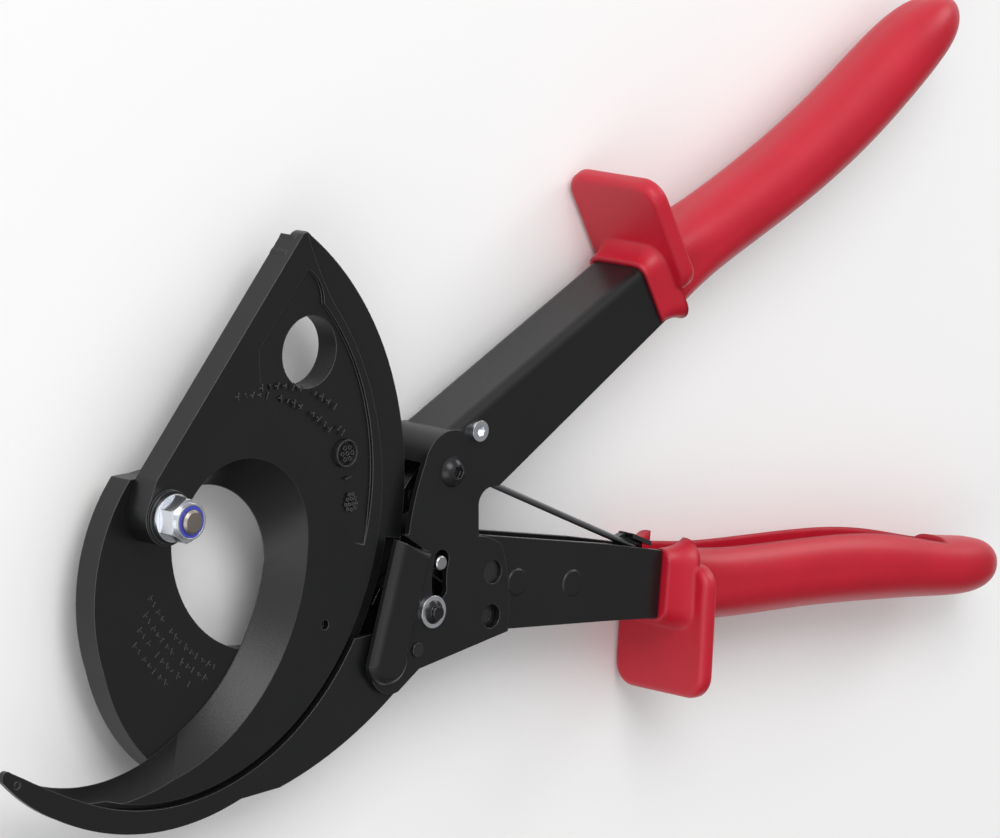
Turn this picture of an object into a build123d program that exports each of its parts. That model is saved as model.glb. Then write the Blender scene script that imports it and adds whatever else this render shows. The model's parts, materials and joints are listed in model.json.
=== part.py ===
"""Ratchet cable cutter with a hooked fixed jaw and a long sickle-shaped moving blade.

The tool lies flat on its back. X runs from the jaws to the grips, Y across the tool and Z is its
thickness. Everything is drawn about the blade's pivot, with z = 0 at the plane where the blade slides
on the jaw, and moved to the middle of the tool's footprint when it is written out. Millimetres.
"""
import os
from math import atan2, cos, degrees, hypot, radians, sin

from build123d import *

# Layers through the thickness, measured from the shear plane
JAW_BACK = -9.0
BLADE_BACK = 0.2
TOOTH_FRONT = 4.5
RIM_FRONT = 7.5
BLADE_FRONT = 10.0
GUARD_BACK = 9.0
SHEET = 2.0
FRONT_CHEEK = 11.0
REAR_CHEEK = -11.0
LEVER_FRONT_WALL = 8.7
LEVER_REAR_WALL = -8.7
PAWL_BACK = 0.6
PAWL_FRONT = 4.1
MIDDLE = 1.0

# Moving blade
LAND_RADIUS = 92.6
RIM_RADIUS = 104.8
TOOTH_TIP = 101.5
TOOTH_ROOT = 98.2
TOOTH_PITCH = 2.6
FIRST_TOOTH = -118.0
TOOTH_COUNT = 64
BLADE_HUB = 9.5
BOSS_FRONT = 11.2
BUSH_OUTER = 6.0
BUSH_INNER = 4.06
SAIL_TIP = (59.8, 86.0)
BLADE_SHOULDER = (-5.0, 12.3)
SAIL_HOLE = (61.8, 45.4)
SAIL_HOLE_RADIUS = 11.8
FLANGE_START = -12.0
RECESS_DEEP = 1.2
TIP_ROUND = 5.0
TIP_BLOCK = 50.4

# Fixed jaw: two circles make the hook
HOOK_OUTER = (50.0, -30.0)
HOOK_OUTER_RADIUS = 72.3
HOOK_INNER = (48.9, -12.5)
HOOK_INNER_RADIUS = 39.2
JAW_HUB = 13.2

# Guard over the toothed rim
GUARD_INNER = 94.4
GUARD_TIP = -133.0

# Places of pins and screws, all measured from the blade's pivot
PAWL_BOLT = (121.3, -1.4)
SPACER_SCREW = (132.2, 10.9)
FRAME_BOLT = (111.8, -46.9)
GUARD_PIN = (105.0, -58.7)
HANDLE_PIVOT = (139.5, -37.6)
DRIVE_PIN = (115.9, -31.2)
RIVET = (138.6, -52.4)

# Where the frame bolt's sleeve comes to against the drive pawl at the end of the stroke
SLEEVE_HOLLOW = (112.7, -39.4)
CHANNEL_RIVETS = ((152.8, -43.3), (178.3, -47.4))

# Standard hardware
M8 = 4.0
M6 = 3.0
M4 = 2.0
PIN = 2.4
FIT = 0.06
WASHER_THICK = 1.6
M8_ACROSS_FLATS = 13.0
M8_NUT_HIGH = 8.0
M8_HEAD_HIGH = 5.3
BOLT_END = 22.4
SLEEVE = 3.9

# Handles and grips
UPPER_SLOPE = 26.5
HANDLE_END = 101.0
TONGUE_END = 128.0
UPPER_START = (121.0, 12.5)
FLAP_THICK = 6.5
TONGUE_HALF = 7.5
FLAP_WIDE = 42.0
STROKE = 18.0
PAWL_LIFT = 14.0
LOUVRE_HIGH = 3.6
STUD = (111.5, -9.0)
STUD_RADIUS = 1.8
WIRE = 1.1
COIL_RADIUS = 5.2

# A cone that stands on its base
UPWARD = (Align.CENTER, Align.CENTER, Align.MIN)


def polar(radius, angle):
    """Point at a radius and an angle in degrees about the blade's pivot."""
    return (radius * cos(radians(angle)), radius * sin(radians(angle)))


def about(centre, radius, angle):
    """Point on a circle about any centre."""
    return (centre[0] + radius * cos(radians(angle)), centre[1] + radius * sin(radians(angle)))


def outline(start, *steps):
    """Closed face. A plain point draws a line to it, and a (via, end) pair draws an arc."""
    edges = []
    here = start
    for step in steps:
        if isinstance(step[0], tuple):
            edges.append(ThreePointArc(here, step[0], step[1]))
            here = step[1]
        else:
            edges.append(Line(here, step))
            here = step
    if hypot(here[0] - start[0], here[1] - start[1]) > 1e-6:
        edges.append(Line(here, start))
    return make_face(Wire(edges))


def prism(face, low, high):
    """Solid of a flat face between two heights."""
    return extrude(Pos(0, 0, low) * face, high - low, dir=(0, 0, 1))


def disc(centre, radius, low, high):
    """Upright cylinder between two heights."""
    return prism(Pos(*centre) * Circle(radius), low, high)


def ring(centre, outer, inner, low, high):
    """Upright tube between two heights."""
    return disc(centre, outer, low, high) - disc(centre, inner, low - 1, high + 1)


def hexagon(centre, flats, low, high, turn=30):
    """Upright hexagonal prism given its width across flats."""
    shape = RegularPolygon(flats / 2, 6, major_radius=False, rotation=turn)
    return prism(Pos(*centre) * shape, low, high)


def sector(inner, outer, start, end, low, high):
    """Part of a ring about the blade's pivot between two angles."""
    middle = (start + end) / 2
    face = outline(
        polar(outer, start),
        (polar(outer, middle), polar(outer, end)),
        polar(inner, end),
        (polar(inner, middle), polar(inner, start)),
    )
    return prism(face, low, high)


# ---------------------------------------------------------------- moving blade

def blade_plan(radius, end_angle=-121.0):
    """Outline of the blade out to a radius, still filled across the cable opening."""
    shoulder_to_tip = (SAIL_TIP[0] - BLADE_SHOULDER[0], SAIL_TIP[1] - BLADE_SHOULDER[1])
    length = hypot(*shoulder_to_tip)
    way = (shoulder_to_tip[0] / length, shoulder_to_tip[1] / length)
    along = BLADE_SHOULDER[0] * way[0] + BLADE_SHOULDER[1] * way[1]
    square = hypot(*BLADE_SHOULDER) ** 2 - along ** 2
    reach = (radius ** 2 - square) ** 0.5 - along
    tip = (BLADE_SHOULDER[0] + way[0] * reach, BLADE_SHOULDER[1] + way[1] * reach)
    tip_angle = degrees(atan2(tip[1], tip[0]))
    before = (tip[0] - way[0] * TIP_ROUND, tip[1] - way[1] * TIP_ROUND)
    after = polar(radius, tip_angle - degrees(TIP_ROUND / radius))
    middle = (
        tip[0] * 0.62 + (before[0] + after[0]) * 0.19,
        tip[1] * 0.62 + (before[1] + after[1]) * 0.19,
    )
    return outline(
        BLADE_SHOULDER,
        before,
        (middle, after),
        (polar(radius, (tip_angle + end_angle) / 2), polar(radius, end_angle)),
        (-60.0, -70.0),
        (-9.0, -3.0),
        (-9.0, 3.0),
    )


def land_plan():
    """Raised front face of the blade: it narrows from the sail's tip to the toothed rim."""
    return outline(
        BLADE_SHOULDER,
        SAIL_TIP,
        (polar(97.8, 48.5), polar(LAND_RADIUS + 1.0, 40.0)),
        (polar(LAND_RADIUS + 0.4, 28.0), polar(LAND_RADIUS, 16.0)),
        (polar(LAND_RADIUS, -50.0), polar(LAND_RADIUS, -121.0)),
        (-60.0, -70.0),
        (-9.0, -3.0),
        (-9.0, 3.0),
    )


def opening_edge(points, height):
    """Closed wire round the cable opening at one height, in the order of its arcs."""
    start, via_top, right, via_right, low, via_low, tip = points
    edges = [
        ThreePointArc(start, via_top, right),
        ThreePointArc(right, via_right, low),
        ThreePointArc(low, via_low, tip),
        Line(tip, (-85.0, -75.0)),
        Line((-85.0, -75.0), (-30.0, -10.0)),
        Line((-30.0, -10.0), (-9.2, -2.4)),
        ThreePointArc((-9.2, -2.4), about((0, 0), BLADE_HUB, -75.0), start),
    ]
    return Pos(0, 0, height) * make_face(Wire(edges))


def opening_cutter():
    """Space of the cable opening, wide in front and narrow at the cutting edge behind."""
    hub_right = polar(BLADE_HUB, 19.0)
    sharp = (hub_right, (32.0, 3.5), (49.2, -22.6), (37.0, -51.6), (12.0, -73.5), (-16.0, -84.1), (-52.0, -79.6))
    ridge = (hub_right, (37.0, 14.5), (60.2, -14.0), (40.5, -63.6), (0.5, -86.4), (-27.0, -90.6), (-57.0, -84.5))
    return loft([opening_edge(sharp, 0.0), opening_edge(ridge, BLADE_FRONT + 0.4)], ruled=True)


def ratchet_teeth(count, low, high):
    """Toothed band round the rim: each tooth rises slowly and drops on its upper side."""
    points = []
    for index in range(count):
        angle = FIRST_TOOTH + index * TOOTH_PITCH
        points.append(polar(TOOTH_ROOT, angle))
        points.append(polar(TOOTH_TIP, angle + 0.78 * TOOTH_PITCH))
        points.append(polar(TOOTH_TIP, angle + 0.90 * TOOTH_PITCH))
    last = FIRST_TOOTH + count * TOOTH_PITCH
    points.append(polar(TOOTH_ROOT, last))
    points.append(polar(90.0, last))
    edges = [Line(points[index], points[index + 1]) for index in range(len(points) - 1)]
    edges.append(ThreePointArc(points[-1], polar(90.0, (FIRST_TOOTH + last) / 2), polar(90.0, FIRST_TOOTH)))
    edges.append(Line(polar(90.0, FIRST_TOOTH), points[0]))
    return prism(make_face(Wire(edges)), low, high)


def sail_recess():
    """Shallow pocket in the sail: level round the hole, then rising to nothing away from the rim."""
    face = outline(
        (39.0, 49.0),
        (60.5, 72.6),
        (polar(94.6, 46.8), polar(90.6, 42.0)),
        (polar(89.4, 14.0), polar(87.0, -14.0)),
        (54.0, -12.0),
        (41.0, 6.0),
    )
    side = Plane(origin=(SAIL_HOLE[0], SAIL_HOLE[1], 0), x_dir=(-0.8, -0.6, 0), z_dir=(-0.6, 0.8, 0))
    floor = BLADE_FRONT - RECESS_DEEP
    slope = outline((12.4, floor), (60.0, floor), (60.0, floor + 47.6 * RECESS_DEEP / 12.0))
    ramp = extrude(side * slope, 90, both=True)
    return prism(face, floor, BLADE_FRONT + 1) - ramp


def make_moving_blade():
    """Forged blade: sail, hub, hollow-ground sickle and toothed rim in one piece."""
    rim = blade_plan(RIM_RADIUS)
    body = prism(blade_plan(TOOTH_ROOT + 0.3), BLADE_BACK, RIM_FRONT)
    teeth = ratchet_teeth(TOOTH_COUNT, BLADE_BACK, TOOTH_FRONT)
    flange = prism(rim, TOOTH_FRONT, RIM_FRONT) - sector(97.0, 130.0, -130.0, FLANGE_START, 0, 12)
    tip = prism(rim, BLADE_BACK, RIM_FRONT) & sector(60.0, 130.0, TIP_BLOCK, 70.0, 0, 12)
    tip = tip - sector(TOOTH_TIP, 130.0, TIP_BLOCK - 2, 72.0, 0, TOOTH_FRONT)
    blade = body + teeth + flange + tip
    blade = blade + (prism(land_plan(), RIM_FRONT, BLADE_FRONT) & prism(rim, 0, 12))
    blade = blade - opening_cutter()
    blade = blade + disc((0, 0), BLADE_HUB, BLADE_BACK, BLADE_FRONT)
    blade = blade + disc((0, 0), BLADE_HUB - 0.8, BLADE_BACK, BOSS_FRONT)
    blade = blade - disc((0, 0), BUSH_OUTER, -1, 14)
    blade = blade - disc(SAIL_HOLE, SAIL_HOLE_RADIUS, -1, 12)
    blade = blade - sail_recess()
    return blade - disc((67.0, -45.1), 1.6, BLADE_FRONT - 2.5, 12)


def make_blade_bush():
    """Bronze bush pressed in the blade's hub, running on the pivot bolt."""
    return ring((0, 0), BUSH_OUTER, BUSH_INNER, BLADE_BACK, BOSS_FRONT)


# ---------------------------------------------------------------- fixed jaw and guard

def make_fixed_jaw():
    """Hooked jaw behind the blade, running on as an arm between the frame's cheeks."""
    hook = outline(
        (0.0, 11.6),
        (-7.5, 11.6),
        ((-20.6, -12.0), (-19.2, -50.0)),
        ((-10.9, -68.8), (6.0, -86.5)),
        ((50.0, -98.0), (96.0, -70.5)),
        (107.0, -64.5),
        (120.0, -58.0),
        (121.0, -40.5),
        (107.5, -21.0),
        (89.5, -14.5),
        (60.0, 18.0),
    )
    jaw = prism(hook, JAW_BACK, 0.0)
    throat = disc(HOOK_INNER, HOOK_INNER_RADIUS, JAW_BACK - 1, 1.0)
    mouth = prism(outline(HOOK_INNER, (88.6, -13.8), (100.0, 40.0), (12.0, 40.0), (12.0, 2.0)), JAW_BACK - 1, 1.0)
    jaw = jaw - throat - mouth
    jaw = jaw + disc((0, 0), JAW_HUB - 1.6, JAW_BACK, 0.0)
    for place, radius in (((0, 0), M8), (FRAME_BOLT, M6), (GUARD_PIN, PIN)):
        jaw = jaw - disc(place, radius, JAW_BACK - 1, 1.0)
    return jaw


def make_rim_guard():
    """Thin curved sheet in front of the toothed rim, riveted under the front cheek."""
    face = outline(
        polar(GUARD_INNER + 3.1, -129.9),
        (polar(GUARD_INNER + 1.0, -122.0), polar(GUARD_INNER, -111.0)),
        (polar(GUARD_INNER, -70.0), polar(GUARD_INNER, -33.0)),
        (101.0, -50.5),
        (111.0, -57.5),
        (107.0, -65.5),
        (99.0, -70.5),
        ((76.0, -84.5), (46.0, -95.6)),
        (29.0, -96.6),
        (polar(102.0, -98.0), polar(102.8, -118.0)),
        (polar(103.4, -126.0), polar(103.2, GUARD_TIP)),
        (polar(101.2, GUARD_TIP - 1.3), polar(98.9, GUARD_TIP)),
    )
    guard = prism(face, GUARD_BACK, GUARD_BACK + SHEET)
    guard = guard - disc(GUARD_PIN, PIN, GUARD_BACK - 1, 12)
    spot = ring(polar(100.4, -130.4), 1.5, 0.9, GUARD_BACK + SHEET - 0.3, 12)
    return guard - spot


# ---------------------------------------------------------------- upper frame

def upper_point(distance, depth):
    """Point along the upper handle, at a depth below its outer face."""
    slope = radians(UPPER_SLOPE)
    return (
        UPPER_START[0] + distance * cos(slope) + depth * sin(slope),
        UPPER_START[1] + distance * sin(slope) - depth * cos(slope),
    )


def cheek_plan():
    """One cheek of the frame with the side wall of the upper handle."""
    return outline(
        (101.6, -19.6),
        ((104.4, -8.5), (109.0, 3.0)),
        ((113.0, 9.5), UPPER_START),
        upper_point(HANDLE_END, 0.0),
        upper_point(HANDLE_END, 22.0),
        (142.5, -8.9),
        (139.0, -8.9),
        ((134.6, -10.6), (133.0, -15.0)),
        (133.0, -24.6),
        ((138.5, -26.0), (143.6, -29.0)),
        ((146.6, -43.0), (146.3, -58.6)),
        (106.0, -65.2),
        (96.5, -71.4),
        ((88.6, -70.2), (84.2, -62.0)),
        ((91.4, -40.5), (97.8, -19.6)),
    )


def louvre_plan(inset, high):
    """Outline of the bulge at one height, drawn in by an amount all round."""
    face = outline(
        (95.2 + inset, -20.4 - 0.5 * inset),
        (110.6 - inset, -26.6 - 0.5 * inset),
        (99.8 - inset, -58.0),
        ((91.0, -68.6 + inset), (82.4 + inset, -61.0)),
    )
    return Pos(0, 0, high) * face


def make_louvre():
    """Bulge pressed out of the front cheek over the toothed rim: its skin and its hollow."""
    base = FRONT_CHEEK + SHEET - 0.4
    skin = None
    turns = [radians(turn) for turn in (0, 22, 44, 66, 80)]
    steps = [(LOUVRE_HIGH * (1 - cos(turn)), LOUVRE_HIGH * sin(turn)) for turn in turns]
    for index in range(len(steps) - 1):
        low = louvre_plan(steps[index][0], base + steps[index][1])
        high = louvre_plan(steps[index + 1][0], base + steps[index + 1][1])
        layer = loft([low, high], ruled=True)
        skin = layer if skin is None else skin + layer
    hollow = loft([louvre_plan(1.6, FRONT_CHEEK - 0.5), louvre_plan(4.0, base + LOUVRE_HIGH - 1.6)], ruled=True)
    mouth = Pos(0, 3.2, 0) * hollow
    return skin, hollow + mouth


def drive_slot():
    """Curved slot in the front cheek for the drive pawl's pin, about the handle's pivot."""
    arm = hypot(DRIVE_PIN[0] - HANDLE_PIVOT[0], DRIVE_PIN[1] - HANDLE_PIVOT[1])
    start = degrees(atan2(DRIVE_PIN[1] - HANDLE_PIVOT[1], DRIVE_PIN[0] - HANDLE_PIVOT[0])) % 360
    half = 3.3
    turns = (start - 4.5, start + STROKE / 2, start + STROKE + 4.5)
    near = [about(HANDLE_PIVOT, arm - half, turn) for turn in turns]
    far = [about(HANDLE_PIVOT, arm + half, turn) for turn in turns]
    face = outline(
        near[0],
        (near[1], near[2]),
        (about(HANDLE_PIVOT, arm, turns[2] + 6.0), far[2]),
        (far[1], far[0]),
        (about(HANDLE_PIVOT, arm, turns[0] - 6.0), near[0]),
    )
    return prism(face, FRONT_CHEEK - 1, FRONT_CHEEK + SHEET + 8)


def stud_slot():
    """Arc slot in the rear cheek for the release lever's stud, about the pawl bolt."""
    arm = hypot(STUD[0] - PAWL_BOLT[0], STUD[1] - PAWL_BOLT[1])
    start = degrees(atan2(STUD[1] - PAWL_BOLT[1], STUD[0] - PAWL_BOLT[0]))
    half = STUD_RADIUS + 0.5
    inner = [about(PAWL_BOLT, arm - half, start + turn) for turn in (-12.0, PAWL_LIFT / 2, PAWL_LIFT + 12.0)]
    outer = [about(PAWL_BOLT, arm + half, start + turn) for turn in (-12.0, PAWL_LIFT / 2, PAWL_LIFT + 12.0)]
    face = outline(inner[0], (inner[1], inner[2]), outer[2], (outer[1], outer[0]))
    return prism(face, REAR_CHEEK - 1, REAR_CHEEK + SHEET + 1)


def upper_tongue():
    """Narrower end of the upper channel, which runs on inside the grip."""
    outer = outline(
        upper_point(86.0, SHEET),
        upper_point(TONGUE_END, SHEET),
        upper_point(TONGUE_END, 19.0),
        upper_point(86.0, 19.0),
    )
    inner = outline(
        upper_point(90.0, 2 * SHEET),
        upper_point(TONGUE_END + 5, 2 * SHEET),
        upper_point(TONGUE_END + 5, 30.0),
        upper_point(90.0, 30.0),
    )
    tongue = prism(outer, MIDDLE - TONGUE_HALF, MIDDLE + TONGUE_HALF)
    return tongue - prism(inner, MIDDLE - TONGUE_HALF + SHEET, MIDDLE + TONGUE_HALF - SHEET)


def make_upper_frame():
    """Sheet-steel frame: two cheeks and the upper handle's channel folded from one plate."""
    plan = cheek_plan()
    frame = prism(plan, REAR_CHEEK, FRONT_CHEEK + SHEET)
    handle_strip = outline(
        UPPER_START,
        upper_point(HANDLE_END, 0.0),
        upper_point(HANDLE_END, SHEET),
        upper_point(-2.0, SHEET),
    )
    corner_strip = outline(
        (109.0, 3.0),
        ((113.0, 9.5), UPPER_START),
        (121.7, 10.4),
        ((114.7, 7.8), (111.0, 2.4)),
    )
    inside = prism(plan, REAR_CHEEK + SHEET, FRONT_CHEEK) - prism(handle_strip, REAR_CHEEK, FRONT_CHEEK + SHEET)
    inside = inside - prism(corner_strip, REAR_CHEEK, FRONT_CHEEK + SHEET)
    bends = [
        edge
        for edge in frame.edges()
        if abs(edge.center().Z - MIDDLE) > 11
        and edge.geom_type == GeomType.LINE
        and edge.length > 100
        and edge.center().Y > upper_point(56.0, 8.0)[1]
    ]
    frame = fillet(bends, 3.2)
    frame = frame - inside
    skin, hollow = make_louvre()
    frame = frame + skin - hollow
    frame = frame + upper_tongue()
    frame = frame - drive_slot() - stud_slot()
    holes = (
        (PAWL_BOLT, M6),
        (SPACER_SCREW, M4),
        (FRAME_BOLT, M6),
        (GUARD_PIN, PIN),
        (HANDLE_PIVOT, 3.0),
    )
    for place, radius in holes:
        frame = frame - disc(place, radius, REAR_CHEEK - 1, FRONT_CHEEK + SHEET + 1)
    frame = frame - disc(HANDLE_PIVOT, 3.9, FRONT_CHEEK - 1, 14) - disc(RIVET, 4.0, FRONT_CHEEK - 1, 14)
    return frame


def grip_body(stations):
    """Rounded grip through stations of (x, y, slope, depth, width, corner radius)."""
    sections = []
    for x, y, slope, depth, wide, corner in stations:
        way = (cos(radians(slope)), sin(radians(slope)), 0)
        plane = Plane(origin=(x, y, MIDDLE), x_dir=(0, 0, 1), z_dir=way)
        sections.append(plane * RectangleRounded(wide, depth, corner))
    return loft(sections)


def flap(root, slope, reach, side):
    """Finger stop: a rounded plate square to the handle, on its outer side."""
    way = (cos(radians(slope)), sin(radians(slope)), 0)
    plane = Plane(origin=(root[0], root[1], MIDDLE + 0.5), x_dir=(0, 0, 1), z_dir=way)
    plate = plane * (Pos(0, side * reach / 2) * RectangleRounded(FLAP_WIDE, reach, 8.0))
    body = extrude(plate, FLAP_THICK)
    rim = [edge for edge in body.edges() if edge.length > 3 and abs(edge.length - FLAP_THICK) > 0.01]
    return fillet(rim, 2.4)


def flare(root, slope, size, length):
    """Base of a finger stop: a short skirt that widens towards the plate."""
    way = (cos(radians(slope)), sin(radians(slope)), 0)
    sections = []
    for step, grow, corner in ((0.0, 0.0, 5.0), (0.45, 1.0, 5.5), (0.8, 3.6, 6.5), (1.0, 6.6, 7.5)):
        origin = (root[0] + way[0] * length * step, root[1] + way[1] * length * step, MIDDLE)
        plane = Plane(origin=origin, x_dir=(0, 0, 1), z_dir=way)
        sections.append(plane * RectangleRounded(size[0] + grow, size[1] + grow, corner))
    return loft(sections)


UPPER_STATIONS = (
    (212.8, 46.2, 26.5, 25.0, 27.0, 5.0),
    (226.0, 52.6, 25.0, 25.0, 27.0, 7.0),
    (242.0, 59.2, 23.0, 24.6, 26.6, 10.5),
    (261.0, 67.0, 23.0, 24.2, 26.4, 11.2),
    (287.0, 78.6, 26.5, 24.8, 26.6, 11.4),
    (321.0, 97.4, 32.0, 25.4, 26.8, 11.8),
    (343.5, 112.6, 34.5, 24.4, 26.0, 11.4),
    (359.0, 122.2, 29.0, 19.6, 22.0, 9.0),
    (369.5, 127.2, 23.0, 9.0, 10.0, 4.2),
)
LOWER_STATIONS = (
    (219.5, -54.3, -6.0, 25.0, 27.0, 5.0),
    (232.0, -55.8, -6.0, 25.2, 27.0, 7.0),
    (248.0, -57.6, -5.0, 26.0, 26.8, 10.0),
    (280.0, -59.5, -4.0, 26.6, 26.8, 11.4),
    (312.0, -61.6, -5.0, 26.4, 26.8, 11.4),
    (342.0, -65.6, -9.0, 24.0, 26.4, 11.2),
    (366.0, -69.8, -8.0, 20.8, 24.0, 9.8),
    (382.0, -71.4, -2.0, 18.8, 21.0, 8.8),
    (392.5, -71.6, 1.0, 9.0, 10.0, 4.2),
)


def grip_hollow(line, low, high):
    """Open channel on the inner side of a grip between two heights."""
    return prism(outline(*line), low, high)


def make_upper_grip(frame):
    """Moulded grip on the upper channel with its finger stop."""
    grip = grip_body(UPPER_STATIONS) + flap((221.6, 46.6), UPPER_SLOPE, 42.5, -1)
    grip = grip + flare((212.8, 46.2), UPPER_SLOPE, (27.0, 25.0), 9.4)
    hollow = grip_hollow(
        (
            upper_point(85.0, 60.0),
            upper_point(85.0, 2 * SHEET),
            upper_point(TONGUE_END, 2 * SHEET),
            (262.0, 72.0),
            (290.0, 82.5),
            (324.0, 101.5),
            (344.0, 114.5),
            (357.0, 111.0),
            (357.0, 70.0),
        ),
        -7.0,
        9.0,
    )
    return grip - hollow - frame


def make_lower_grip(handle):
    """Moulded grip on the lower channel with its finger stop."""
    grip = grip_body(LOWER_STATIONS) + flap((230.3, -48.0), -4.0, 46.0, 1)
    grip = grip + flare((219.5, -54.3), -6.0, (27.0, 25.0), 11.4)
    hollow = grip_hollow(
        (
            (210.0, -30.0),
            (210.0, -64.2),
            (221.2, -64.2),
            (222.6, -60.6),
            (245.0, -64.0),
            (280.0, -66.8),
            (312.0, -69.2),
            (344.0, -71.5),
            (362.0, -68.0),
            (366.0, -45.0),
        ),
        -6.7,
        8.7,
    )
    return grip - hollow - handle


# ---------------------------------------------------------------- lower handle and drive

def wall_plan():
    """Side wall of the lower handle from its pivot to the grip."""
    return outline(
        (131.8, -26.6),
        ((135.0, -25.2), (139.0, -25.6)),
        (194.6, -36.4),
        (221.0, -42.4),
        (222.5, -47.5),
        (250.0, -50.5),
        (250.0, -65.0),
        (222.5, -61.5),
        (221.0, -65.6),
        (194.7, -62.8),
        (146.3, -58.3),
        ((136.0, -58.0), (131.0, -52.0)),
    )


def make_lower_handle():
    """Moving handle: a folded channel open on its upper side, with a nose on its front wall."""
    plan = wall_plan()
    web = outline(
        (146.3, -58.3),
        (194.7, -62.8),
        (221.0, -65.6),
        (222.5, -61.5),
        (250.0, -65.0),
        (250.0, -63.0),
        (222.5, -59.5),
        (219.5, -63.4),
        (194.7, -60.8),
        (146.3, -56.3),
    )
    handle = prism(plan, LEVER_FRONT_WALL, LEVER_FRONT_WALL + SHEET)
    handle = handle + prism(plan, LEVER_REAR_WALL, LEVER_REAR_WALL + SHEET)
    handle = handle + prism(web, LEVER_REAR_WALL, LEVER_FRONT_WALL + SHEET)
    for place in CHANNEL_RIVETS:
        handle = handle - disc(place, 2.5, -20, 20)
    handle = handle - disc(HANDLE_PIVOT, 3.0 + FIT, -20, 20)
    handle = handle - disc(RIVET, 2.0, LEVER_FRONT_WALL - 1, 20)
    return handle


def make_drive_lever():
    """Hardened nose plate inside the front wall, which carries the drive pawl's pin."""
    nose = outline(
        about(DRIVE_PIN, 4.3, 100.0),
        (132.0, -25.6),
        (146.0, -28.5),
        (146.0, -55.0),
        (134.0, -55.0),
        (129.0, -44.0),
        about(DRIVE_PIN, 4.3, -95.0),
        (about(DRIVE_PIN, 4.3, 180.0), about(DRIVE_PIN, 4.3, 100.0)),
    )
    plate = prism(nose, LEVER_FRONT_WALL - 2.3, LEVER_FRONT_WALL)
    plate = plate - disc(HANDLE_PIVOT, 3.0 + FIT, 0, 20)
    plate = plate - disc(DRIVE_PIN, PIN, 0, 20)
    return plate - disc(RIVET, 2.0, 0, 20)


def make_lever_rivet():
    """Rivet that fastens the nose plate to the handle's wall."""
    low = disc(RIVET, 3.2, LEVER_FRONT_WALL - 3.3, LEVER_FRONT_WALL - 2.3)
    return low + disc(RIVET, 2.0, LEVER_FRONT_WALL - 2.3, LEVER_FRONT_WALL + SHEET)


def make_channel_rivets():
    """Two rivets across the lower channel with broad, low heads outside its walls."""
    result = []
    for place in CHANNEL_RIVETS:
        body = disc(place, 2.5, LEVER_REAR_WALL - 0.2, LEVER_FRONT_WALL + SHEET)
        body = body + disc(place, 4.0, LEVER_REAR_WALL + SHEET, LEVER_FRONT_WALL)
        cap = Pos(place[0], place[1], LEVER_FRONT_WALL + SHEET) * Cone(4.7, 4.0, 0.4, align=UPWARD)
        result.append(body + cap)
    return Compound(children=result)


def make_drive_pawl():
    """Pawl that pushes the toothed rim down when the lower handle is squeezed."""
    tip = (93.1, -43.4)
    face = outline(
        about(DRIVE_PIN, 4.0, 95.0),
        (104.0, -33.6),
        (96.6, -38.6),
        tip,
        (101.5, -42.6),
        about(DRIVE_PIN, 4.0, -60.0),
        (about(DRIVE_PIN, 4.0, 17.0), about(DRIVE_PIN, 4.0, 95.0)),
    )
    pawl = prism(face, PAWL_BACK, PAWL_FRONT)
    pawl = pawl - disc(SLEEVE_HOLLOW, SLEEVE + 0.9, 0, 6)
    return pawl - disc(DRIVE_PIN, PIN + FIT, 0, 6)


def make_holding_pawl():
    """Pawl that stops the blade from opening again between strokes."""
    tip = (101.3, -16.1)
    face = outline(
        about(PAWL_BOLT, 6.4, 110.0),
        (109.5, -4.6),
        (104.6, -10.0),
        tip,
        (108.6, -14.6),
        (114.6, -12.6),
        about(PAWL_BOLT, 6.4, -70.0),
        (about(PAWL_BOLT, 6.4, 20.0), about(PAWL_BOLT, 6.4, 110.0)),
    )
    pawl = prism(face, PAWL_BACK, PAWL_FRONT)
    pawl = pawl - disc(PAWL_BOLT, 3.8 + FIT, 0, 6)
    return pawl - disc(STUD, STUD_RADIUS, 0, 6)


def make_release_lever():
    """Thumb lever behind the rear cheek, with the stud that lifts the holding pawl."""
    back = REAR_CHEEK - 0.4
    face = outline(
        about(PAWL_BOLT, 7.0, 100.0),
        (104.0, 3.0),
        (88.0, -2.0),
        ((84.6, -6.6), (88.6, -10.8)),
        (106.0, -14.0),
        (116.0, -13.0),
        about(PAWL_BOLT, 7.0, -60.0),
        (about(PAWL_BOLT, 7.0, 20.0), about(PAWL_BOLT, 7.0, 100.0)),
    )
    lever = prism(face, back - SHEET, back)
    tab = outline((87.5, -2.2), ((84.6, -6.6), (88.6, -10.8)), (91.0, -11.2), (90.0, -1.4))
    lever = lever + prism(tab, back - SHEET - 3.4, back - SHEET)
    lever = lever + disc(STUD, STUD_RADIUS, back, PAWL_FRONT)
    return lever - disc(PAWL_BOLT, 3.0 + FIT, -30, 0)


def make_spring_clip():
    """Saddle across the lower channel that guides the end of the return spring."""
    face = outline((200.0, -50.0), (200.0, -40.6), (217.5, -44.2), (217.5, -52.0))
    block = prism(face, LEVER_REAR_WALL + SHEET, LEVER_FRONT_WALL)
    groove = prism(outline((199, -39.5), (218.5, -48.8), (218.5, -30), (199, -30)), 4.4, 9.0)
    sides = prism(outline((206.0, -44.0), (206.0, -36.6), (210.0, -35.4), (217.5, -39.0), (217.5, -48.0)), 1.6, 4.2)
    roof = prism(outline((209.0, -35.2), (217.5, -39.0), (217.5, -40.6), (209.0, -36.8)), 1.6, LEVER_FRONT_WALL)
    return block - groove + sides + roof


def coil_turn(centre, radius, wire, height):
    """One closed turn of spring wire lying flat at a height."""
    return Pos(centre[0], centre[1], height) * Torus(radius, wire)


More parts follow.
